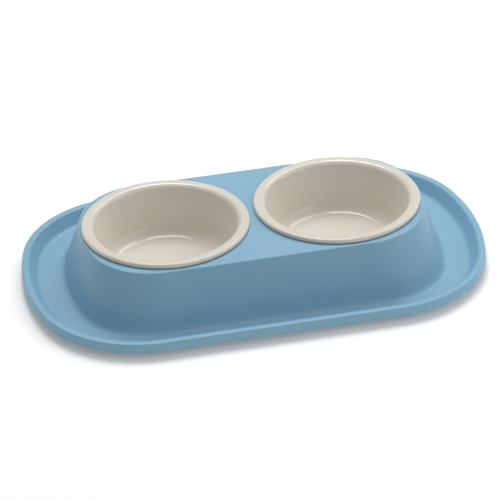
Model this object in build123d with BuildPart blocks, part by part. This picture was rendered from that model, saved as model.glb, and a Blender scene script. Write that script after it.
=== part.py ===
from build123d import *
import os
from math import atan, cos, degrees, radians, sin, tan

os.makedirs("parts", exist_ok=True)

# A double pet feeder: a moulded tray with a raised stand, two lift-out bowls and four rubber pads.
# Millimetres. X runs along the two bowls, -Y is the front, Z is up from the ground under the pads.

# Bowls
bowl_rim_diameter = 151.0
bowl_gap = 6.4
bowl_rim_width = 9.8
bowl_rim_height = 4.3
bowl_rim_edge_radius = 2.0
bowl_rim_inner_radius = 5.2
bowl_rim_foot_radius = 1.5
bowl_depth = 44.0
bowl_slope_run = 13.7
bowl_floor_fillet = 14.0
bowl_wall = 2.4
bowl_ring_inset = 13.0
bowl_ring_height = 1.4

# Tray
tray_length = 420.6
tray_width = 261.8
tray_corner_radius = 100.0
tray_wall = 2.2
lip_height = 11.6
lip_top_width = 6.0
lip_slope_run = 7.9
lip_outer_radius = 1.4
lip_inner_radius = 3.0
skirt_depth = 8.5
skirt_flare = 0.8
floor_end_width = 24.0
floor_side_width = 18.9
floor_fillet = 6.0

# Stand
stand_height = 50.8
stand_end_margin = 1.4
stand_side_margin = 3.5
stand_top_corner_radius = 61.5
stand_foot_corner_radius = 60.0
stand_edge_radius = 2.0
collar_depth = 9.0
hole_clearance = 0.6

# Rubber pads
pad_diameter = 11.0
pad_stand_off = 1.2
pad_recess = 0.8
pad_edge_radius = 0.5
pad_clearance = 0.2

# Angle, measured at the end arc's middle line, where each end arc hands over to its corner arcs
end_angle = 15.0
pick_tolerance = 0.05
overrun = 1.0

# Heights
floor_bottom = pad_stand_off
floor_top = floor_bottom + tray_wall
lip_top = floor_top + lip_height
skirt_bottom = lip_top - skirt_depth
stand_top = floor_top + stand_height
rim_top = stand_top + bowl_rim_height

# Slopes of the drafted walls
skirt_draft = degrees(atan(skirt_flare / skirt_depth))
lip_slope = degrees(atan(lip_slope_run / lip_height))

# Distances in from the tray's outer edge
lip_inner_inset = skirt_flare + lip_top_width
basin_inset = lip_inner_inset + lip_slope_run
slope_wall_run = tray_wall / cos(radians(lip_slope))
tub_inset = basin_inset - slope_wall_run + tray_wall * tan(radians(lip_slope))

# Stand outlines: the top goes round the two rims, the foot follows the tray's floor
bowl_centre_distance = bowl_rim_diameter + bowl_gap
stand_top_half_length = bowl_centre_distance / 2 + bowl_rim_diameter / 2 + stand_end_margin
stand_top_half_width = bowl_rim_diameter / 2 + stand_side_margin
stand_foot_half_length = tray_length / 2 - basin_inset - floor_end_width
stand_foot_half_width = tray_width / 2 - basin_inset - floor_side_width


def corner_centre(half_length, half_width, corner_radius):
    """Centre of an outline's corner arc, and the radius of the end arc that meets it."""
    rise = half_width - corner_radius
    end_radius = corner_radius + rise / sin(radians(end_angle))
    corner_x = half_length - end_radius + rise / tan(radians(end_angle))
    return corner_x, rise, end_radius


def obround(half_length, half_width, corner_radius):
    """Outline with straight long sides, whose ends are a wide arc between two corner arcs, all tangent."""
    corner_x, rise, end_radius = corner_centre(half_length, half_width, corner_radius)
    with BuildSketch() as shape:
        with BuildLine():
            CenterArc((corner_x, rise), corner_radius, end_angle, 90 - end_angle)
            CenterArc((half_length - end_radius, 0), end_radius, -end_angle, 2 * end_angle)
            CenterArc((corner_x, -rise), corner_radius, -90, 90 - end_angle)
            mirror(about=Plane.YZ)
            Line((-corner_x, half_width), (corner_x, half_width))
            Line((-corner_x, -half_width), (corner_x, -half_width))
        make_face()
    return shape.sketch


def tray_outline(inset):
    """The tray's outline, moved in all round."""
    return obround(tray_length / 2 - inset, tray_width / 2 - inset, tray_corner_radius - inset)


def stand_foot_outline(end_inset, side_inset):
    """The stand's outline where it meets the tray's floor, moved in at its ends and sides."""
    half_length = stand_foot_half_length - end_inset
    half_width = stand_foot_half_width - side_inset
    return obround(half_length, half_width, stand_foot_corner_radius - side_inset)


def stand_top_outline(end_inset, side_inset):
    """The stand's outline at its top, close round the two rims, moved in at its ends and sides."""
    half_length = stand_top_half_length - end_inset
    half_width = stand_top_half_width - side_inset
    return obround(half_length, half_width, stand_top_corner_radius - side_inset)


def hollow_inset(spread):
    """Inset of the stand's hollow, made one wall lower than the stand, that leaves a full wall beside it."""
    draft = atan(spread / stand_height)
    return tray_wall * (1 - sin(draft)) / cos(draft)


def level_edges(piece, height):
    """Edges of a piece that lie flat at one height, longest first, so a fillet starts on a straight side."""
    low, high = height - pick_tolerance, height + pick_tolerance
    flat = piece.edges().filter_by(lambda edge: edge.bounding_box().size.Z < pick_tolerance)
    return flat.filter_by_position(Axis.Z, low, high).sort_by(SortBy.LENGTH, reverse=True)


hollow_end_inset = hollow_inset(stand_foot_half_length - stand_top_half_length)
hollow_side_inset = hollow_inset(stand_foot_half_width - stand_top_half_width)

bowl_centres = (-bowl_centre_distance / 2, bowl_centre_distance / 2)

# Bowl wall: inside radius by height, and the level thickness of the sloping wall
bowl_floor = rim_top - bowl_depth
bowl_base = bowl_floor - bowl_wall
bowl_rim_radius = bowl_rim_diameter / 2
bowl_top_radius = bowl_rim_radius - bowl_rim_width
bowl_floor_diameter = bowl_rim_diameter - 2 * (bowl_rim_width + bowl_slope_run)
bowl_floor_radius = bowl_floor_diameter / 2
bowl_ring_diameter = bowl_floor_diameter - 2 * bowl_ring_inset
bowl_slope = atan((bowl_top_radius - bowl_floor_radius) / bowl_depth)
bowl_wall_run = bowl_wall / cos(bowl_slope)


def bowl_outer_radius(height):
    """Outside radius of the bowl's sloping wall at a height."""
    return bowl_floor_radius + (height - bowl_floor) * tan(bowl_slope) + bowl_wall_run


hole_radius = bowl_outer_radius(stand_top) + hole_clearance

# Pads sit midway across the tray's floor at its four corners
tray_corner_x, tray_corner_rise, _ = corner_centre(tray_length / 2, tray_width / 2, tray_corner_radius)
stand_corner_x, stand_corner_rise, _ = corner_centre(
    stand_foot_half_length, stand_foot_half_width, stand_foot_corner_radius
)
diagonal_share = sin(radians(45))
tray_reach = (tray_corner_radius - tub_inset) * diagonal_share
stand_reach = (stand_foot_corner_radius - hollow_side_inset) * diagonal_share
pad_x = (tray_corner_x + tray_reach + stand_corner_x + stand_reach) / 2
pad_y = (tray_corner_rise + tray_reach + stand_corner_rise + stand_reach) / 2
pad_places = {
    "pad_front_left": (-pad_x, -pad_y),
    "pad_front_right": (pad_x, -pad_y),
    "pad_back_left": (-pad_x, pad_y),
    "pad_back_right": (pad_x, pad_y),
}
pad_thickness = pad_stand_off + pad_recess

# Feeder base: tray with a hollow turned-down lip, and the stand that carries the bowls
with BuildPart() as feeder_base:
    # Lip and skirt, hollow from below
    with BuildSketch(Plane.XY.offset(skirt_bottom)):
        add(tray_outline(0))
    extrude(amount=skirt_depth, taper=skirt_draft)
    with BuildSketch(Plane.XY.offset(skirt_bottom)):
        add(tray_outline(tray_wall))
    extrude(amount=skirt_depth - tray_wall, taper=skirt_draft, mode=Mode.SUBTRACT)
    # Sloping inner side of the lip and the floor, as a solid tub that reaches into the lip's top
    with BuildSketch(Plane.XY.offset(floor_bottom)):
        add(tray_outline(tub_inset))
    extrude(amount=lip_top - tray_wall / 2 - floor_bottom, taper=-lip_slope)
    # Basin inside the lip
    with BuildSketch(Plane.XY.offset(floor_top)):
        add(tray_outline(basin_inset))
    extrude(amount=lip_height + overrun, taper=-lip_slope, mode=Mode.SUBTRACT)
    # The lip's flat top is broken softly towards the basin and more tightly towards the skirt
    lip_face = feeder_base.faces().sort_by(Axis.Z)[-1]
    fillet(lip_face.inner_wires()[0].edges(), lip_inner_radius)
    lip_face = feeder_base.faces().filter_by(Plane.XY).sort_by(Axis.Z)[-1]
    fillet(lip_face.outer_wire().edges(), lip_outer_radius)
    # Stand, ruled from the wide foot up to the top round the two rims
    with BuildSketch(Plane.XY.offset(floor_top)):
        add(stand_foot_outline(0, 0))
    with BuildSketch(Plane.XY.offset(stand_top)):
        add(stand_top_outline(0, 0))
    loft(ruled=True)
    fillet(level_edges(feeder_base, floor_top), floor_fillet)
    fillet(level_edges(feeder_base, stand_top), stand_edge_radius)
    # Hollow of the stand
    with BuildSketch(Plane.XY.offset(floor_bottom)):
        add(stand_foot_outline(hollow_end_inset, hollow_side_inset))
    with BuildSketch(Plane.XY.offset(stand_top - tray_wall)):
        add(stand_top_outline(hollow_end_inset, hollow_side_inset))
    loft(ruled=True, mode=Mode.SUBTRACT)
    fillet(level_edges(feeder_base, floor_bottom), floor_fillet + tray_wall)
    # Collars that guide the bowls, and the holes through them
    with BuildSketch(Plane.XY.offset(stand_top - collar_depth)):
        with Locations(*[(x, 0) for x in bowl_centres]):
            Circle(hole_radius + tray_wall)
    extrude(amount=collar_depth - tray_wall / 2)
    with BuildSketch(Plane.XY.offset(stand_top - collar_depth - overrun)):
        with Locations(*[(x, 0) for x in bowl_centres]):
            Circle(hole_radius)
    extrude(amount=collar_depth + 2 * overrun, mode=Mode.SUBTRACT)
    # Shallow recesses that seat the pads
    with BuildSketch(Plane.XY.offset(floor_bottom)):
        with Locations(*pad_places.values()):
            Circle(pad_diameter / 2 + pad_clearance)
    extrude(amount=pad_recess, mode=Mode.SUBTRACT)

feeder_base.part.label = "feeder_base"
export_step(feeder_base.part, "parts/feeder_base.step")

# Bowls: one turned profile each, with a flange turned down to rest on the stand
rim_inner_edge = bowl_rim_radius - bowl_wall
rim_underside = rim_top - bowl_wall
ring_outer = bowl_ring_diameter / 2
ring_inner = ring_outer - bowl_wall
ring_foot = bowl_base - bowl_ring_height
floor_corner = (bowl_floor_radius, bowl_floor)
base_corner = (bowl_outer_radius(bowl_base), bowl_base)
rim_corner = (bowl_rim_radius, rim_top)
mouth_corner = (bowl_top_radius, rim_top)
rim_foot = (bowl_rim_radius, stand_top)
flange_corner = (bowl_outer_radius(rim_underside), rim_underside)
corner_radii = {
    floor_corner: bowl_floor_fillet,
    base_corner: bowl_floor_fillet + bowl_wall,
    rim_corner: bowl_rim_edge_radius,
    mouth_corner: bowl_rim_inner_radius,
    rim_foot: bowl_rim_foot_radius,
    flange_corner: bowl_rim_inner_radius - bowl_wall,
}

for bowl_name, bowl_x in zip(("bowl_left", "bowl_right"), bowl_centres):
    with BuildPart() as bowl:
        with BuildSketch(Plane((bowl_x, 0, 0), x_dir=(1, 0, 0), z_dir=(0, -1, 0))) as profile:
            with BuildLine():
                Polyline(
                    (0, bowl_floor),
                    floor_corner,
                    mouth_corner,
                    rim_corner,
                    rim_foot,
                    (rim_inner_edge, stand_top),
                    (rim_inner_edge, rim_underside),
                    flange_corner,
                    base_corner,
                    (ring_outer, bowl_base),
                    (ring_outer, ring_foot),
                    (ring_inner, ring_foot),
                    (ring_inner, bowl_base),
                    (0, bowl_base),
                    close=True,
                )
            make_face()
            for corner, radius in corner_radii.items():
                fillet(profile.vertices().sort_by_distance(corner)[0], radius)
        revolve(axis=Axis((bowl_x, 0, 0), (0, 0, 1)))
    bowl.part.label = bowl_name
    export_step(bowl.part, f"parts/{bowl_name}.step")

# Rubber pads, pressed into the recesses under the floor
for pad_name, pad_place in pad_places.items():
    with BuildPart() as pad:
        with BuildSketch():
            with Locations(pad_place):
                Circle(pad_diameter / 2)
        extrude(amount=pad_thickness)
        fillet(level_edges(pad, 0), pad_edge_radius)
    pad.part.label = pad_name
    export_step(pad.part, f"parts/{pad_name}.step")
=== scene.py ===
from math import atan, ceil, cos, degrees, pi, radians, sin, tan

import bpy
import numpy as np
from bpy.props import FloatProperty, FloatVectorProperty, PointerProperty
from bpy.types import Operator, Panel, PropertyGroup
from mathutils import Matrix, Vector


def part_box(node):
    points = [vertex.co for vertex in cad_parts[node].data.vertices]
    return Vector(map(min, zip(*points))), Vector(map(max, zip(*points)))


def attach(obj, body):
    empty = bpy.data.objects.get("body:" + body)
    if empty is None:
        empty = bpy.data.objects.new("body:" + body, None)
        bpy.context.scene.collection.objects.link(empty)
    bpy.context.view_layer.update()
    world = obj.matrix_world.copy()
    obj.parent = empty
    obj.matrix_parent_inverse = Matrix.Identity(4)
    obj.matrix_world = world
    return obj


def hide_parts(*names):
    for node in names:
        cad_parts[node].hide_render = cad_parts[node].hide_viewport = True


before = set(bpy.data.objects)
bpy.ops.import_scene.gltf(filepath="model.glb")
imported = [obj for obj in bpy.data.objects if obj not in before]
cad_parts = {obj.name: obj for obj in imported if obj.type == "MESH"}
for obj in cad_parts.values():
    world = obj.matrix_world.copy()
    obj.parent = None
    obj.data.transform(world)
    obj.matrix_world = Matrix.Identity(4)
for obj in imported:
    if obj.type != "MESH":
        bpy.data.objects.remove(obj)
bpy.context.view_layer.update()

bl_info = {
    "name": "Double Pet Bowl",
    "version": (1, 0, 0),
    "blender": (4, 5, 0),
    "location": "3D View > Sidebar > Pet Bowl",
    "description": "A moulded feeder tray with two lift-out bowls, its finishes and a white studio",
    "category": "Add Mesh",
}

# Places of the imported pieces, in metres: X along the bowls, -Y to the front, Z up from the ground
BASE_LOW, BASE_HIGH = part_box("feeder_base")
BOWL_LOW, BOWL_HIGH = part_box("bowl_left")
PAD_LOW, PAD_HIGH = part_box("pad_front_left")

# The bowls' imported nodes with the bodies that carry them, and the pads' nodes
BOWL_BODIES = {"bowl_left": "left_bowl", "bowl_right": "right_bowl"}
PAD_NODES = [node for node in sorted(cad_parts) if node.startswith("pad_")]

# Steps along a straight half side, a corner arc, an end arc and the line between the bowls
SIDE_STEPS = 16
CORNER_STEPS = 32
END_STEPS = 24
ACROSS_STEPS = 40

# Steps round a bowl and round a pad
BOWL_STEPS = 288
PAD_STEPS = 64

# Most degrees between the rows of a rounded edge, and the places of the rows on a straight run
ARC_DEGREES = 9.0
BETWEEN_SHARES = (0.04, 0.35, 0.65, 0.96)

# Angle, either way from the middle of an end, where its wide arc hands over to the corner arcs
HAND_OVER = radians(15)

# Angle between two faces above which their edge stays sharp
SHARP_ANGLE = radians(50)

# Decimals of a metre to which two points count as one
WELD_DECIMALS = 9

# Sockets of a Mix node that blends colours: its factor, its two colours and its result
MIX_FACTOR = 0
MIX_FIRST = 6
MIX_SECOND = 7
MIX_RESULT = 2

# Names of the softboxes, which start the names of their settings
SOFTBOXES = ("key", "side", "fill")


# Settings

def length(name, description, default):
    """A length in metres that a user may change."""
    return FloatProperty(name=name, description=description, default=default, unit="LENGTH", precision=4)


def angle(name, description, in_degrees):
    """An angle, given in degrees, that a user may change."""
    return FloatProperty(name=name, description=description, default=radians(in_degrees), subtype="ANGLE")


def share(name, description, default):
    """A share from 0 to 1 that a user may change."""
    kind = {"subtype": "FACTOR", "min": 0, "max": 1}
    return FloatProperty(name=name, description=description, default=default, **kind)


def colour(name, description, default):
    """A colour, in linear light, that a user may change."""
    kind = {"subtype": "COLOR", "min": 0, "max": 1}
    return FloatVectorProperty(name=name, description=description, default=default, **kind)


def watts(name, description, default):
    """The power of a lamp, in watts, that a user may change."""
    return FloatProperty(name=name, description=description, default=default, unit="POWER")


class FeederBaseSizes(PropertyGroup):
    """Sizes of the tray, its lip, the stand and the collared holes."""

    tray_length: length("Tray length", "Across the tray's ends", BASE_HIGH.x - BASE_LOW.x)
    tray_width: length("Tray width", "From the tray's front to its back", BASE_HIGH.y - BASE_LOW.y)
    tray_corner: length("Tray corner", "Radius of the tray's corners", 0.1000)
    wall: length("Wall", "Thickness of the moulding", 0.0022)
    floor_bottom: length("Floor underside", "Height of the floor's underside over the ground", BASE_LOW.z)
    floor_end_width: length("Floor at the ends", "From the stand's foot to the lip, at the ends", 0.0240)
    floor_side_width: length("Floor at the sides", "From the stand's foot to the lip, at the sides", 0.0189)
    floor_fillet: length("Floor fillet", "Rounding where the floor meets the stand and the lip", 0.006)
    lip_height: length("Lip height", "From the floor to the lip's top", 0.0116)
    lip_top_width: length("Lip top", "Width of the lip's top, before its roundings", 0.0060)
    lip_slope_run: length("Lip slope", "Level run of the lip's inner slope", 0.0079)
    lip_outer_edge: length("Lip outer edge", "Rounding from the lip's top to the skirt", 0.0014)
    lip_inner_edge: length("Lip inner edge", "Rounding from the lip's top to its inner slope", 0.0030)
    skirt_depth: length("Skirt depth", "From the lip's top to the skirt's lower edge", 0.0085)
    skirt_flare: length("Skirt flare", "How far the skirt leans out on the way down", 0.0008)
    skirt_edge: length("Skirt edge", "Rounding of the skirt's edges and under the lip", 0.0005)
    stand_top: length("Stand top", "Height of the stand's top over the ground", BASE_HIGH.z)
    stand_end_margin: length("Stand end margin", "Stand beyond the bowls' rims, at the ends", 0.0014)
    stand_side_margin: length("Stand side margin", "Stand beyond the bowls' rims, at the sides", 0.0035)
    stand_top_corner: length("Stand top corner", "Radius of the stand's corners at its top", 0.0615)
    stand_foot_corner: length("Stand foot corner", "Radius of the stand's corners at its foot", 0.060)
    stand_edge: length("Stand edge", "Rounding of the stand's top edge", 0.002)
    plate_inset: length("Plate inset", "From the stand's top edge to where its level plate starts", 0.003)
    collar_depth: length("Collar depth", "From the stand's top to the lower edge of each collar", 0.009)
    collar_edge: length("Collar edge", "Rounding of each hole's edges", 0.0005)
    hole_clearance: length("Hole clearance", "Room between a hole and its bowl", 0.0006)


class FeederBowlSizes(PropertyGroup):
    """Sizes of each bowl."""

    rim_diameter: length("Rim diameter", "Across the bowl's rim", BOWL_HIGH.x - BOWL_LOW.x)
    rim_width: length("Rim width", "Width of the rim, from its outside to the bowl's mouth", 0.0098)
    rim_top: length("Rim top", "Height of the rim over the ground", BOWL_HIGH.z)
    rim_edge: length("Rim edge", "Rounding of the rim's outer edge", 0.0020)
    mouth_edge: length("Mouth edge", "Rounding of the rim's inner edge", 0.0052)
    foot_edge: length("Rim foot", "Rounding of the rim's lower outer edge", 0.0015)
    depth: length("Depth", "From the rim's top to the bowl's floor", 0.044)
    floor_diameter: length("Floor diameter", "Across the bowl's floor, before its rounding", 0.104)
    floor_fillet: length("Floor rounding", "Rounding between the bowl's floor and wall", 0.014)
    wall: length("Wall", "Thickness of the bowl", 0.0024)
    ring_diameter: length("Foot ring", "Across the ring under the bowl", 0.078)
    ring_height: length("Foot ring height", "Height of the ring under the bowl", 0.0014)
    small_edge: length("Small edge", "Rounding of the edges under the rim and of the foot ring", 0.0006)


class FeederPadSizes(PropertyGroup):
    """Sizes of each rubber pad."""

    diameter: length("Pad diameter", "Across each rubber pad", PAD_HIGH.x - PAD_LOW.x)
    thickness: length("Pad thickness", "Height of each rubber pad", PAD_HIGH.z - PAD_LOW.z)
    edge: length("Pad edge", "Rounding of each pad's lower edge", 0.0005)


class FeederFinishes(PropertyGroup):
    """Colours and roughness of the plastics and the rubber."""

    base_colour: colour("Base", "Colour of the matt tray and stand", (0.248, 0.458, 0.610))
    base_roughness: share("Base roughness", "Roughness of the matt plastic", 0.37)
    bowl_colour: colour("Bowls", "Colour of the satin bowls", (0.735, 0.697, 0.614))
    bowl_roughness: share("Bowl roughness", "Roughness of the satin plastic", 0.17)
    pad_colour: colour("Pads", "Colour of the rubber pads", (0.045, 0.045, 0.047))
    pad_roughness: share("Pad roughness", "Roughness of the rubber", 0.78)


class FeederStage(PropertyGroup):
    """Places and levels of the camera, the lights and the floor. Turns count from straight in front."""

    azimuth: angle("Camera azimuth", "Turn of the camera round the feeder", -10.79)
    elevation: angle("Camera elevation", "Height of the camera over the horizon", 31.074)
    roll: angle("Camera roll", "Turn of the camera about its own axis", -2.4873)
    distance: length("Camera distance", "From the camera to the point it looks at", 2.8195)
    look_at: FloatVectorProperty(
        name="Look at",
        description="Point in the picture's middle",
        default=(-0.00202, 0.00458, 0.01332),
        subtype="TRANSLATION",
        unit="LENGTH",
    )
    lens: FloatProperty(
        name="Lens",
        description="Focal length of the camera",
        default=223.81,
        unit="CAMERA",
    )
    world_light: share("Room light", "Strength of the even light from all round", 0.37)
    key_azimuth: angle("Key azimuth", "Turn of the key softbox round the feeder", 176)
    key_elevation: angle("Key elevation", "Height of the key softbox over the horizon", 63)
    key_distance: length("Key distance", "From the feeder to the key softbox", 2.4)
    key_width: length("Key width", "Level width of the key softbox", 0.9)
    key_height: length("Key height", "Height of the key softbox along its slope", 1.25)
    key_power: watts("Key power", "Power of the key softbox", 28.2)
    side_azimuth: angle("Side azimuth", "Turn of the side softbox round the feeder", 135)
    side_elevation: angle("Side elevation", "Height of the side softbox over the horizon", 50)
    side_distance: length("Side distance", "From the feeder to the side softbox", 2.4)
    side_width: length("Side width", "Level width of the side softbox", 1.0)
    side_height: length("Side height", "Height of the side softbox along its slope", 1.0)
    side_power: watts("Side power", "Power of the side softbox", 12.0)
    fill_azimuth: angle("Fill azimuth", "Turn of the fill softbox round the feeder", 58)
    fill_elevation: angle("Fill elevation", "Height of the fill softbox over the horizon", 24)
    fill_distance: length("Fill distance", "From the feeder to the fill softbox", 2.1)
    fill_width: length("Fill width", "Level width of the fill softbox", 1.6)
    fill_height: length("Fill height", "Height of the fill softbox along its slope", 1.2)
    fill_power: watts("Fill power", "Power of the fill softbox", 7.8)
    floor_reach: length("Floor reach", "From the feeder to the floor's edges", 6.0)
    floor_level: share("Floor level", "Grey of the floor that the light falls on", 0.92)
    floor_glow: share("Floor glow", "White that the camera sees added to the floor near the feeder", 0.17)
    far_glow: share("Far glow", "White that the camera sees added to the floor far from the feeder", 0.62)
    glow_start: length("Glow start", "Distance from the feeder where the glow starts to rise", 0.3)
    glow_end: length("Glow end", "Distance from the feeder where the glow is full", 2.0)


# Outlines and surfaces

def directions(angles):
    """Unit vectors in plan at the given angles."""
    return np.stack([np.cos(angles), np.sin(angles)], axis=1)


def at_height(points, height):
    """Plan points lifted to a height."""
    return np.column_stack([points, np.full(len(points), height)])


def piece_centre(node):
    """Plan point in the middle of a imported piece."""
    low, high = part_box(node)
    return np.array([(low.x + high.x) / 2, (low.y + high.y) / 2])


def outline_steps():
    """Steps round every outline, counter-clockwise from the middle of the back.

    A step has the angle of its outward normal, its share along the straight side from -1 to 1, and a mark
    where it lies on a wide end arc. All outlines use these steps, so like steps face the same way.
    """
    quarter = pi / 2
    runs = (
        (quarter, quarter, 0, -1, 0, SIDE_STEPS),
        (quarter, pi - HAND_OVER, -1, -1, 0, CORNER_STEPS),
        (pi - HAND_OVER, pi + HAND_OVER, -1, -1, 1, END_STEPS),
        (pi + HAND_OVER, 3 * quarter, -1, -1, 0, CORNER_STEPS),
        (3 * quarter, 3 * quarter, -1, 1, 0, 2 * SIDE_STEPS),
        (3 * quarter, 2 * pi - HAND_OVER, 1, 1, 0, CORNER_STEPS),
        (2 * pi - HAND_OVER, 2 * pi + HAND_OVER, 1, 1, 1, END_STEPS),
        (2 * pi + HAND_OVER, 5 * quarter, 1, 1, 0, CORNER_STEPS),
        (5 * quarter, 5 * quarter, 1, 0, 0, SIDE_STEPS),
    )
    angles = np.concatenate([np.linspace(a, b, steps, endpoint=False) for a, b, _, _, _, steps in runs])
    along = np.concatenate([np.linspace(a, b, steps, endpoint=False) for _, _, a, b, _, steps in runs])
    on_end = np.concatenate([np.full(steps, bool(mark)) for _, _, _, _, mark, steps in runs])
    return angles, along, on_end


def obround(half_length, half_width, corner_radius):
    """Plan points of an outline with straight long sides and ends of a wide arc between two corner arcs.

    A point is its arc's centre plus the radius times the outward normal. The corner centre stands in from
    the side by the corner radius, and the end arc's radius makes the two arcs meet at the hand-over angle.
    """
    angles, along, on_end = outline_steps()
    rise = half_width - corner_radius
    end_radius = corner_radius + rise / sin(HAND_OVER)
    corner_x = half_length - end_radius + rise / tan(HAND_OVER)
    centre_x = np.where(on_end, along * (half_length - end_radius), along * corner_x)
    centre_y = np.where(on_end, 0, np.sign(np.sin(angles)) * rise)
    radius = np.where(on_end, end_radius, corner_radius)
    return np.stack([centre_x, centre_y], axis=1) + radius[:, None] * directions(angles)


def slope(start, finish, facing):
    """Unit vectors, outward and up, from one ring to another, each in the plane that its step faces."""
    step = finish - start
    flat = np.stack([(step[:, :2] * facing).sum(axis=1), step[:, 2]], axis=1)
    return flat / np.linalg.norm(flat, axis=1, keepdims=True)


def arc_rows(here, before, after, radius, facing):
    """Rows of the arc that rounds a ring's edge, from the slope to the ring before it to the slope after.

    The arc's centre lies on the bisector of the two slopes, at the radius over the sine of half their
    angle. Its points turn evenly between the tangent points, which are weighted by the sines of the turn
    that is left and the turn that is done, over the sine of the whole turn.
    """
    back = slope(here, before, facing)
    ahead = slope(here, after, facing)
    half = np.arccos((back * ahead).sum(axis=1, keepdims=True)) / 2
    bisector = (back + ahead) / np.linalg.norm(back + ahead, axis=1, keepdims=True)
    centre = bisector * radius / np.sin(half)
    start = back * radius / np.tan(half) - centre
    finish = ahead * radius / np.tan(half) - centre
    turn = pi - 2 * half
    steps = ceil(degrees(turn.max()) / ARC_DEGREES)
    part = np.linspace(0, 1, steps + 1)[:, None, None]
    arc = centre + (np.sin((1 - part) * turn) * start + np.sin(part * turn) * finish) / np.sin(turn)
    return here + np.concatenate([arc[..., :1] * facing, arc[..., 1:]], axis=2)


def rounded_rows(edges, facing):
    """Rows of a surface through edges, each a ring of points with the radius that rounds it, or 0.

    A rounded edge becomes the rows of its arc, and the straight runs between the edges get rows at the same
    shares of their length. Each step round the rings has an outward direction that it faces.
    """
    rings = [ring for ring, _ in edges]
    rows = []
    part = np.array(BETWEEN_SHARES)[:, None, None]
    for index, (ring, radius) in enumerate(edges):
        if radius == 0:
            group = ring[None]
        else:
            group = arc_rows(ring, rings[index - 1], rings[index + 1], radius, facing)
        if rows:
            last = rows[-1][-1]
            rows.append(last + part * (group[0] - last))
        rows.append(group)
    return np.concatenate(rows)


def turned_rows(corners, centre, steps):
    """Rows of a turned surface: each corner of the half section, a radius, a height and a rounding, becomes
    a ring round the centre."""
    facing = directions(np.linspace(0, 2 * pi, steps, endpoint=False))
    edges = [(at_height(centre + radius * facing, height), edge) for radius, height, edge in corners]
    return rounded_rows(edges, facing)


def grid_faces(rows):
    """Corners of the quads between neighbouring rows and steps of a surface that closes on itself."""
    count, steps = rows.shape[:2]
    index = np.arange(count * steps).reshape(count, steps)
    following = np.roll(index, -1, axis=1)
    corners = (index[:-1], index[1:], following[1:], following[:-1])
    return np.stack([corner.ravel() for corner in corners], axis=1)


def make_piece(name, surfaces, material):
    """A closed piece from surfaces whose borders share points: equal points become one vertex, and a quad
    that ends in a pole becomes a triangle."""
    points, faces, offset = [], [], 0
    for rows in surfaces:
        points.append(rows.reshape(-1, 3))
        faces.append(grid_faces(rows) + offset)
        offset += len(points[-1])
    rounded = np.round(np.concatenate(points), WELD_DECIMALS)
    vertices, place = np.unique(rounded, axis=0, return_inverse=True)
    faces = place.reshape(-1)[np.concatenate(faces)]
    first_pole = faces[:, 0] == faces[:, 3]
    last_pole = faces[:, 1] == faces[:, 2]
    quads = faces[~first_pole & ~last_pole]
    fans = np.concatenate([faces[first_pole][:, [0, 1, 2]], faces[last_pole][:, [0, 1, 3]]])
    mesh = bpy.data.meshes.new(name)
    mesh.from_pydata(vertices, [], quads.tolist() + fans.tolist())
    if mesh.validate():
        raise RuntimeError(f"{name} has faces that had to be mended")
    mesh.polygons.foreach_set("use_smooth", np.ones(len(mesh.polygons), bool))
    mesh.set_sharp_from_angle(angle=SHARP_ANGLE)
    mesh.materials.append(material)
    piece = bpy.data.objects.new(name, mesh)
    bpy.context.scene.collection.objects.link(piece)
    return piece


def seat(piece, body, node):
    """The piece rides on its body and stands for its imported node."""
    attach(piece, body)
    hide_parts(node)


# Forms of the bowls and the base

def bowl_profile(sizes, stand_top):
    """Half section of a bowl, as corners of radius, height and rounding, and its outer radius in the hole.

    It runs from the middle of the floor over the rim and back under to the middle of the underside. The rim
    stands on the stand's top. The wall is even, so its outside is the inside moved out by the wall over the
    cosine of its slope.
    """
    rim = sizes.rim_diameter / 2
    mouth = rim - sizes.rim_width
    floor = sizes.rim_top - sizes.depth
    base = floor - sizes.wall
    rim_under = sizes.rim_top - sizes.wall
    floor_radius = sizes.floor_diameter / 2
    lean = (mouth - floor_radius) / sizes.depth
    run = sizes.wall / cos(atan(lean))
    ring = sizes.ring_diameter / 2
    ring_foot = base - sizes.ring_height

    def outside(height):
        return floor_radius + (height - floor) * lean + run

    corners = (
        (0, floor, 0),
        (floor_radius, floor, sizes.floor_fillet),
        (mouth, sizes.rim_top, sizes.mouth_edge),
        (rim, sizes.rim_top, sizes.rim_edge),
        (rim, stand_top, sizes.foot_edge),
        (rim - sizes.wall, stand_top, sizes.small_edge),
        (rim - sizes.wall, rim_under, sizes.small_edge),
        (outside(rim_under), rim_under, sizes.mouth_edge - sizes.wall),
        (outside(base), base, sizes.floor_fillet + sizes.wall),
        (ring, base, sizes.small_edge),
        (ring, ring_foot, sizes.small_edge),
        (ring - sizes.wall, ring_foot, sizes.small_edge),
        (ring - sizes.wall, base, sizes.small_edge),
        (0, base, 0),
    )
    return corners, outside(stand_top)


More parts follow.
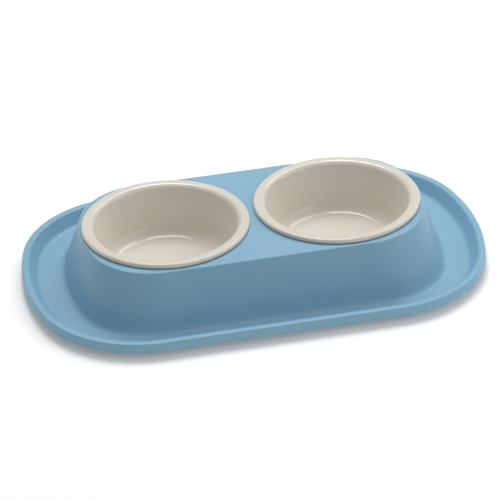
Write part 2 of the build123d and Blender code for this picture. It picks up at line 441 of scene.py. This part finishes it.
def base_skin(sizes, bowls):
    """Rows of the base from the stand's plate down its sloping side, over the floor, up and over the lip,
    down the skirt and back along the underside to the inside of the stand.

    Its edges are the tray's outline moved in, the stand's foot and its smaller top round the rims. The
    inside of a sloping wall is its outside moved by the wall over the cosine of the slope, less the run of
    the slope over a height of one wall.
    """
    wall = sizes.wall
    floor_bottom = sizes.floor_bottom
    floor_top = floor_bottom + wall
    lip_top = floor_top + sizes.lip_height
    lip_under = lip_top - wall
    skirt_bottom = lip_top - sizes.skirt_depth
    plate_under = sizes.stand_top - wall
    lip_inner = sizes.skirt_flare + sizes.lip_top_width
    basin = lip_inner + sizes.lip_slope_run
    lip_lean = sizes.lip_slope_run / sizes.lip_height
    tub = basin - wall / cos(atan(lip_lean)) + wall * lip_lean
    skirt_inside = wall + sizes.skirt_flare * (sizes.skirt_depth - wall) / sizes.skirt_depth
    slope_back = tub - (lip_under - floor_bottom) * lip_lean
    top_half = piece_centre("bowl_right")[0] + bowls.rim_diameter / 2 + sizes.stand_end_margin
    top_side = bowls.rim_diameter / 2 + sizes.stand_side_margin
    foot_half = sizes.tray_length / 2 - basin - sizes.floor_end_width
    foot_side = sizes.tray_width / 2 - basin - sizes.floor_side_width
    spreads = (foot_half - top_half, foot_side - top_side)
    drafts = [atan(spread / (sizes.stand_top - floor_top)) for spread in spreads]
    hollow_end, hollow_side = [wall * (1 - sin(draft)) / cos(draft) for draft in drafts]

    def tray(inset, height):
        half = sizes.tray_length / 2 - inset
        return at_height(obround(half, sizes.tray_width / 2 - inset, sizes.tray_corner - inset), height)

    def foot(end_inset, side_inset, height):
        corner = sizes.stand_foot_corner - side_inset
        return at_height(obround(foot_half - end_inset, foot_side - side_inset, corner), height)

    def top(end_inset, side_inset, height):
        corner = sizes.stand_top_corner - side_inset
        return at_height(obround(top_half - end_inset, top_side - side_inset, corner), height)

    edges = (
        (top(sizes.plate_inset, sizes.plate_inset, sizes.stand_top), 0),
        (top(0, 0, sizes.stand_top), sizes.stand_edge),
        (foot(0, 0, floor_top), sizes.floor_fillet),
        (tray(basin, floor_top), sizes.floor_fillet),
        (tray(lip_inner, lip_top), sizes.lip_inner_edge),
        (tray(sizes.skirt_flare, lip_top), sizes.lip_outer_edge),
        (tray(0, skirt_bottom), sizes.skirt_edge),
        (tray(wall, skirt_bottom), sizes.skirt_edge),
        (tray(skirt_inside, lip_under), sizes.skirt_edge),
        (tray(slope_back, lip_under), sizes.skirt_edge),
        (tray(tub, floor_bottom), sizes.floor_fillet + wall),
        (foot(hollow_end, hollow_side, floor_bottom), sizes.floor_fillet + wall),
        (top(hollow_end, hollow_side, plate_under), 0),
    )
    angles, _, _ = outline_steps()
    return rounded_rows(edges, directions(angles))


def half_loop(ring):
    """The first half of a ring that starts midway between the bowls, closed by points on the straight line
    back to its start."""
    half = len(ring) // 2
    _, depth, height = ring[0]
    across = np.linspace(-1, 1, ACROSS_STEPS + 1)[1:-1]
    line = at_height(np.outer(across, (0, depth)), height)
    return np.concatenate([ring[:half + 1], line])


def collar_rows(sizes, bowls, centre, plate, underside):
    """Rows from the plate's underside down the outside of a collar and up through its hole to the plate.

    Every step faces along the spoke from the bowl's centre to its point of the plate's border, and the hole
    and the collar are circles round that centre.
    """
    _, bowl_outside = bowl_profile(bowls, sizes.stand_top)
    hole = bowl_outside + sizes.hole_clearance
    plate_under = sizes.stand_top - sizes.wall
    collar_bottom = sizes.stand_top - sizes.collar_depth
    spoke = plate[:, :2] - centre
    facing = spoke / np.linalg.norm(spoke, axis=1, keepdims=True)
    inner = centre + hole * facing
    outer = centre + (hole + sizes.wall) * facing
    edges = (
        (underside, 0),
        (at_height(outer, plate_under), 0),
        (at_height(outer, collar_bottom), sizes.collar_edge),
        (at_height(inner, collar_bottom), sizes.collar_edge),
        (at_height(inner, sizes.stand_top), sizes.collar_edge),
        (plate, 0),
    )
    return rounded_rows(edges, facing)


def base_surfaces(sizes, bowls):
    """The feeder base as one closed form in three surfaces: its skin, and for each bowl the collared hole
    that joins the plate's top and underside. The two holes' surfaces meet midway between the bowls."""
    skin = base_skin(sizes, bowls)
    surfaces = [skin]
    half = skin.shape[1] // 2
    for node, start in (("bowl_left", 0), ("bowl_right", half)):
        plate = half_loop(np.roll(skin[0], -start, axis=0))
        underside = half_loop(np.roll(skin[-1], -start, axis=0))
        surfaces.append(collar_rows(sizes, bowls, piece_centre(node), plate, underside))
    return surfaces


# Finishes

class Value:
    """A number in a node tree. Sums and products of values add Math nodes to the tree."""

    def __init__(self, graph, socket):
        self.graph = graph
        self.socket = socket

    def math(self, operation, first, second):
        node = self.graph.node("ShaderNodeMath", {"operation": operation}, {0: first, 1: second})
        return Value(self.graph, node.outputs[0])

    def __add__(self, other):
        return self.math("ADD", self, other)

    def __radd__(self, other):
        return self.math("ADD", other, self)

    def __mul__(self, other):
        return self.math("MULTIPLY", self, other)

    def __rmul__(self, other):
        return self.math("MULTIPLY", other, self)


class Graph:
    """The nodes of one material or world."""

    def __init__(self, owner):
        owner.use_nodes = True
        self.tree = owner.node_tree
        self.tree.nodes.clear()

    def node(self, kind, settings=None, sockets=None):
        """Adds a node, sets its settings, then gives its sockets their values or links."""
        node = self.tree.nodes.new(kind)
        for name, value in (settings or {}).items():
            setattr(node, name, value)
        for key, value in (sockets or {}).items():
            socket = node.inputs[key]
            if isinstance(value, Value):
                self.tree.links.new(value.socket, socket)
            elif isinstance(value, bpy.types.NodeSocket):
                self.tree.links.new(value, socket)
            else:
                socket.default_value = value
        return node

    def place(self):
        """Place on the piece, in metres from the shared origin."""
        return self.node("ShaderNodeTexCoord").outputs["Object"]

    def noise(self, per_metre, detail, seed):
        """Cloudy noise over the piece, about 0.5 on average, with so many features to a metre."""
        shift = {"Vector": self.place(), "Location": (seed, seed, seed)}
        moved = self.node("ShaderNodeMapping", None, shift).outputs["Vector"]
        sockets = {"Vector": moved, "Scale": per_metre, "Detail": detail}
        return Value(self, self.node("ShaderNodeTexNoise", None, sockets).outputs["Fac"])

    def blend(self, factor, first, second):
        """Colour between two colours."""
        sockets = {MIX_FACTOR: factor, MIX_FIRST: (*first, 1), MIX_SECOND: (*second, 1)}
        return self.node("ShaderNodeMix", {"data_type": "RGBA"}, sockets).outputs[MIX_RESULT]

    def bump(self, height, depth):
        """Normal of a surface that a height of 1 raises by a depth in metres."""
        sockets = {"Height": height, "Distance": depth, "Strength": 1.0}
        return self.node("ShaderNodeBump", None, sockets).outputs["Normal"]

    def seen(self):
        """1 where the camera, gloss or glass looks, and 0 where light is gathered."""
        path = self.node("ShaderNodeLightPath")
        camera, gloss, glass = [
            Value(self, path.outputs[f"Is {kind} Ray"]) for kind in ("Camera", "Glossy", "Transmission")
        ]
        return camera + gloss + glass

    def surface(self, shader):
        """Ends a material in its shader."""
        self.node("ShaderNodeOutputMaterial", None, {"Surface": shader.outputs[0]})


def tinted(base, factor):
    """A colour made lighter or darker."""
    return tuple(min(1.0, channel * factor) for channel in base)


def mixed(first, second, second_share):
    """Two noises added by their shares of the whole."""
    return first * (1 - second_share) + second * second_share


def swayed(level, *sways):
    """A level with noises that move it evenly up and down, each by its own range."""
    start = level - sum(reach for _, reach in sways) / 2
    return sum((noise * reach for noise, reach in sways), start=start)


def matt_plastic(name, base, roughness):
    """Matt injection-moulded plastic: a spark-eroded grain under half a millimetre across, with faint
    clouds in the tone and in the roughness."""
    darkest = 0.965
    lightest = 1.035
    tone_grain_share = 0.2
    cloud_sway = 0.06
    pit_sway = 0.04
    pit_share = 0.4
    grain_depth = 0.00003
    material = bpy.data.materials.new(name)
    graph = Graph(material)
    grain = graph.noise(per_metre=2600, detail=2, seed=0.0)
    pits = graph.noise(per_metre=900, detail=3, seed=1.7)
    clouds = graph.noise(per_metre=16, detail=3, seed=4.1)
    tone = mixed(clouds, grain, tone_grain_share)
    graph.surface(graph.node("ShaderNodeBsdfPrincipled", None, {
        "Base Color": graph.blend(tone, tinted(base, darkest), tinted(base, lightest)),
        "Roughness": swayed(roughness, (clouds, cloud_sway), (pits, pit_sway)),
        "IOR": 1.46,
        "Specular IOR Level": 0.35,
        "Normal": graph.bump(mixed(grain, pits, pit_share), grain_depth),
    }))
    return material


def satin_plastic(name, base, roughness):
    """Smooth satin plastic: slow waves of a moulded skin, a very fine grain and faint clouds."""
    darkest = 0.98
    lightest = 1.02
    tone_grain_share = 0.1
    cloud_sway = 0.05
    grain_sway = 0.03
    grain_share = 0.15
    wave_depth = 0.00002
    material = bpy.data.materials.new(name)
    graph = Graph(material)
    waves = graph.noise(per_metre=120, detail=2, seed=2.3)
    grain = graph.noise(per_metre=2200, detail=2, seed=0.6)
    clouds = graph.noise(per_metre=22, detail=4, seed=5.2)
    tone = mixed(clouds, grain, tone_grain_share)
    graph.surface(graph.node("ShaderNodeBsdfPrincipled", None, {
        "Base Color": graph.blend(tone, tinted(base, darkest), tinted(base, lightest)),
        "Roughness": swayed(roughness, (clouds, cloud_sway), (grain, grain_sway)),
        "IOR": 1.49,
        "Normal": graph.bump(mixed(waves, grain, grain_share), wave_depth),
    }))
    return material


def rubber(name, base, roughness):
    """Soft rubber: a coarse dusty grain."""
    darkest = 0.8
    lightest = 1.3
    tone_grain_share = 0.3
    dust_sway = 0.12
    grain_depth = 0.00005
    material = bpy.data.materials.new(name)
    graph = Graph(material)
    grain = graph.noise(per_metre=1500, detail=3, seed=0.9)
    dust = graph.noise(per_metre=140, detail=4, seed=3.3)
    tone = mixed(dust, grain, tone_grain_share)
    graph.surface(graph.node("ShaderNodeBsdfPrincipled", None, {
        "Base Color": graph.blend(tone, tinted(base, darkest), tinted(base, lightest)),
        "Roughness": swayed(roughness, (dust, dust_sway)),
        "Normal": graph.bump(grain, grain_depth),
    }))
    return material


def studio_floor(name, setting):
    """Pale floor that takes the feeder's shadow. The camera and gloss see it lifted to white by a glow that
    rises smoothly with the distance from the feeder, because the lamps light the far floor less."""
    darkest = 0.995
    lightest = 1.005
    material = bpy.data.materials.new(name)
    graph = Graph(material)
    grey = (setting.floor_level,) * 3
    speckle = graph.noise(per_metre=60, detail=3, seed=0.2)
    paint = graph.blend(speckle, tinted(grey, darkest), tinted(grey, lightest))
    away = graph.node("ShaderNodeVectorMath", {"operation": "LENGTH"}, {0: graph.place()})
    rise = graph.node("ShaderNodeMapRange", {"interpolation_type": "SMOOTHSTEP"}, {
        "Value": away.outputs["Value"],
        "From Min": setting.glow_start,
        "From Max": setting.glow_end,
    })
    glow = graph.blend(rise.outputs["Result"], (setting.floor_glow,) * 3, (setting.far_glow,) * 3)
    diffuse = graph.node("ShaderNodeBsdfDiffuse", None, {"Color": paint})
    light = graph.node("ShaderNodeEmission", None, {"Color": glow, "Strength": graph.seen()})
    graph.surface(graph.node("ShaderNodeAddShader", None, {0: diffuse.outputs[0], 1: light.outputs[0]}))
    return material


# Operators and panel

def orbit(turn, lift):
    """Unit vector from the feeder, turned from straight in front and lifted over the floor."""
    return Vector((sin(turn) * cos(lift), -cos(turn) * cos(lift), sin(lift)))


class FEEDER_OT_base(Operator):
    """Build the tray with its lip, skirt and raised stand"""

    bl_idname = "feeder.base"
    bl_label = "Feeder Base"

    def execute(self, context):
        scene = context.scene
        finish = scene.feeder_finishes
        material = matt_plastic("pale_blue_matt_plastic", tuple(finish.base_colour), finish.base_roughness)
        surfaces = base_surfaces(scene.feeder_base, scene.feeder_bowls)
        piece = make_piece("tray_and_stand", surfaces, material)
        seat(piece, "base", "feeder_base")
        return {"FINISHED"}


class FEEDER_OT_bowls(Operator):
    """Build the two lift-out bowls"""

    bl_idname = "feeder.bowls"
    bl_label = "Bowls"

    def execute(self, context):
        scene = context.scene
        finish = scene.feeder_finishes
        material = satin_plastic("cream_satin_plastic", tuple(finish.bowl_colour), finish.bowl_roughness)
        corners, _ = bowl_profile(scene.feeder_bowls, scene.feeder_base.stand_top)
        for node, body in BOWL_BODIES.items():
            rows = turned_rows(corners, piece_centre(node), BOWL_STEPS)
            seat(make_piece(f"{body}_shell", [rows], material), body, node)
        return {"FINISHED"}


class FEEDER_OT_pads(Operator):
    """Build the rubber pads under the tray"""

    bl_idname = "feeder.pads"
    bl_label = "Rubber Pads"

    def execute(self, context):
        scene = context.scene
        finish = scene.feeder_finishes
        sizes = scene.feeder_pads
        material = rubber("dark_grey_rubber", tuple(finish.pad_colour), finish.pad_roughness)
        radius = sizes.diameter / 2
        top = sizes.thickness
        corners = ((0, top, 0), (radius, top, 0), (radius, 0, sizes.edge), (0, 0, 0))
        for node in PAD_NODES:
            rows = turned_rows(corners, piece_centre(node), PAD_STEPS)
            seat(make_piece(f"{node}_rubber", [rows], material), "base", node)
        return {"FINISHED"}


class FEEDER_OT_stage(Operator):
    """Build the white floor, the soft lights and the camera"""

    bl_idname = "feeder.stage"
    bl_label = "Studio"

    def execute(self, context):
        scene = context.scene
        setting = scene.feeder_stage
        self.add_floor(scene, setting)
        self.add_room_light(scene, setting)
        for name in SOFTBOXES:
            self.add_softbox(scene, setting, name)
        self.add_camera(scene, setting)
        scene.view_settings.view_transform = "Standard"
        return {"FINISHED"}

    def add_floor(self, scene, setting):
        """A square floor under the feeder."""
        reach = setting.floor_reach
        corners = [(-reach, -reach, 0), (reach, -reach, 0), (reach, reach, 0), (-reach, reach, 0)]
        mesh = bpy.data.meshes.new("studio_floor")
        mesh.from_pydata(corners, [], [range(len(corners))])
        mesh.materials.append(studio_floor("white_floor", setting))
        floor = bpy.data.objects.new("studio_floor", mesh)
        scene.collection.objects.link(floor)

    def add_room_light(self, scene, setting):
        """Even white light from all round."""
        world = bpy.data.worlds.new("studio")
        scene.world = world
        graph = Graph(world)
        sockets = {"Color": (1, 1, 1, 1), "Strength": setting.world_light}
        back = graph.node("ShaderNodeBackground", None, sockets)
        graph.node("ShaderNodeOutputWorld", None, {"Surface": back.outputs[0]})

    def add_softbox(self, scene, setting, name):
        """A rectangular lamp that faces the feeder."""
        place = orbit(getattr(setting, f"{name}_azimuth"), getattr(setting, f"{name}_elevation"))
        lamp = bpy.data.lights.new(f"{name}_softbox", "AREA")
        lamp.shape = "RECTANGLE"
        lamp.size = getattr(setting, f"{name}_width")
        lamp.size_y = getattr(setting, f"{name}_height")
        lamp.energy = getattr(setting, f"{name}_power")
        light = bpy.data.objects.new(f"{name}_softbox", lamp)
        light.location = place * getattr(setting, f"{name}_distance")
        light.rotation_euler = place.to_track_quat("Z", "Y").to_euler()
        scene.collection.objects.link(light)

    def add_camera(self, scene, setting):
        """The camera, looking at its point from its place on the orbit and turned by the roll."""
        back = orbit(setting.azimuth, setting.elevation)
        right = orbit(setting.azimuth + pi / 2, 0)
        up = back.cross(right)
        rolled_right = right * cos(setting.roll) + up * sin(setting.roll)
        rolled_up = up * cos(setting.roll) - right * sin(setting.roll)
        matrix = Matrix((rolled_right, rolled_up, back)).transposed().to_4x4()
        matrix.translation = Vector(setting.look_at) + back * setting.distance
        lens = bpy.data.cameras.new("studio_camera")
        lens.lens = setting.lens
        lens.clip_end = 2 * setting.floor_reach + setting.distance
        camera = bpy.data.objects.new("studio_camera", lens)
        camera.matrix_world = matrix
        scene.collection.objects.link(camera)
        scene.camera = camera


class FEEDER_PT_panel(Panel):
    """Sizes, finishes and builders of the double pet bowl"""

    bl_label = "Double Pet Bowl"
    bl_idname = "FEEDER_PT_panel"
    bl_space_type = "VIEW_3D"
    bl_region_type = "UI"
    bl_category = "Pet Bowl"

    def draw(self, context):
        for operator, groups in BUILDERS:
            box = self.layout.box()
            box.operator(operator.bl_idname)
            for group in groups:
                values = getattr(context.scene, group)
                for name in values.__annotations__:
                    box.prop(values, name)


# The groups of settings by their names on the scene
SETTINGS = {
    "feeder_base": FeederBaseSizes,
    "feeder_bowls": FeederBowlSizes,
    "feeder_pads": FeederPadSizes,
    "feeder_finishes": FeederFinishes,
    "feeder_stage": FeederStage,
}

# The operators with the groups that the panel lists under them
BUILDERS = (
    (FEEDER_OT_base, ("feeder_base", "feeder_finishes")),
    (FEEDER_OT_bowls, ("feeder_bowls",)),
    (FEEDER_OT_pads, ("feeder_pads",)),
    (FEEDER_OT_stage, ("feeder_stage",)),
)
CLASSES = (*SETTINGS.values(), *(operator for operator, _ in BUILDERS), FEEDER_PT_panel)


def register():
    """Registers the classes and hangs the settings on the scene."""
    for cls in CLASSES:
        bpy.utils.register_class(cls)
    for name, group in SETTINGS.items():
        setattr(bpy.types.Scene, name, PointerProperty(type=group))


def unregister():
    """Takes the settings and classes away again."""
    for name in SETTINGS:
        delattr(bpy.types.Scene, name)
    for cls in reversed(CLASSES):
        bpy.utils.unregister_class(cls)


def main():
    """Builds every piece and the stage."""
    register()
    bpy.ops.feeder.base()
    bpy.ops.feeder.bowls()
    bpy.ops.feeder.pads()
    bpy.ops.feeder.stage()


if __name__ == "__main__":
    main()
